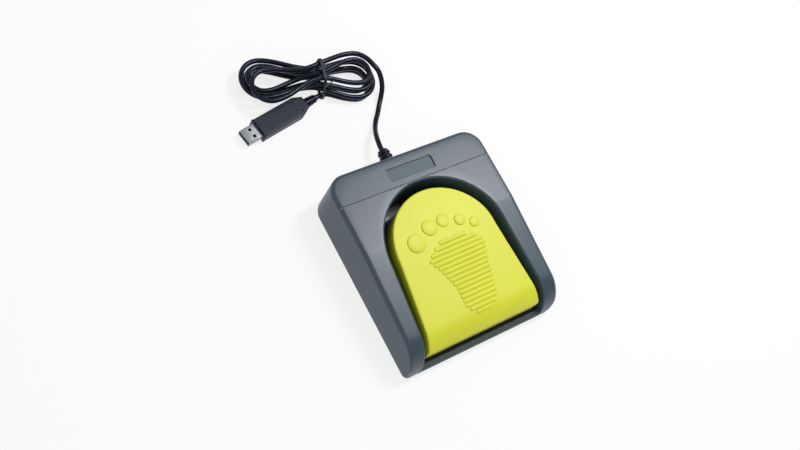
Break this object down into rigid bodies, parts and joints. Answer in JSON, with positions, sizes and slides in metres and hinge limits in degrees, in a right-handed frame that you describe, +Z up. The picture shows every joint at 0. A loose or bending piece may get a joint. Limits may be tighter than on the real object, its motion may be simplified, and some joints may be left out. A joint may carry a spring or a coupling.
{
  "type": "usb foot pedal switch",
  "caption": "Low grey foot switch with a hinged yellow treadle moulded with a footprint, and a tied black lead that ends in a boxy USB plug.",
  "frame": {"origin": "on the table, under the middle of the housing's outline", "axes": "+X to the right as seen by the foot's owner, +Y to the rear where the lead leaves, +Z up"},
  "size_m": [0.1525, 0.2528, 0.037],
  "materials": {
    "housing": "grey moulded plastic with a fine spark texture",
    "base": "dark grey moulded plastic",
    "pedal": "lime yellow satin moulded plastic",
    "steel": "bright plated steel",
    "bush": "ivory bearing plastic",
    "switch_body": "black moulded plastic",
    "plunger": "red moulded plastic",
    "rubber": "matt black rubber",
    "cable_jacket": "semi-gloss black soft plastic",
    "wire": "red and grey wire insulation",
    "tie": "black coated tie",
    "plug_case": "black satin moulded plastic",
    "board": "green circuit board",
    "chip": "black moulded chip",
    "nickel": "bright nickel plated sheet",
    "tongue": "white moulded plastic",
    "contact_brass": "gold plated brass"
  },
  "bodies": {
    "housing_body": {"upper_housing": "housing", "base_plate": "base", "hinge_pin": "steel", "hinge_clips": "steel", "return_spring_left": "steel", "return_spring_right": "steel", "switch_case": "switch_body", "switch_terminals": "contact_brass", "switch_screws": "steel", "bump_stops": "rubber", "rubber_feet": "rubber", "case_screws": "steel", "strain_relief": "cable_jacket", "inner_cable": "cable_jacket", "cable_clamp": "base", "clamp_screws": "steel", "lead_wires": "wire", "cable_tail": "cable_jacket", "cable_hank": "cable_jacket", "cable_tie": "tie", "plug_boot": "cable_jacket", "plug_case_lower": "plug_case", "plug_case_upper": "plug_case", "plug_board": "board", "board_chips": "chip", "usb_shell": "nickel", "usb_tongue": "tongue", "usb_contacts": "contact_brass"},
    "pedal_body": {"pedal": "pedal", "pedal_bushes": "bush"},
    "lever_body": {"switch_lever": "steel"},
    "plunger_body": {"switch_plunger": "plunger"}
  },
  "joints": [
    {"name": "pedal_hinge", "type": "hinge", "parent": "housing_body", "child": "pedal_body", "pos_m": [0, -0.056, 0.013], "axis": [-1, 0, 0], "range_deg": [0, 5], "stiffness_Nm_per_rad": 7.4, "springref_deg": -2.86, "deforming": ["return_spring_left", "return_spring_right"]},
    {"name": "lever_hinge", "type": "hinge", "parent": "housing_body", "child": "lever_body", "pos_m": [0, -0.0295, 0.0237], "axis": [-1, 0, 0], "range_deg": [0, 12.5]},
    {"name": "plunger_slide", "type": "slide", "parent": "housing_body", "child": "plunger_body", "axis": [0, 0, -1], "range_m": [0, 0.0012]}
  ],
  "couplings": [
    {"joint": "lever_hinge", "follows": "pedal_hinge", "ratio": 2.48},
    {"joint": "plunger_slide", "follows": "pedal_hinge", "m_per_rad": 0.0136}
  ]
}
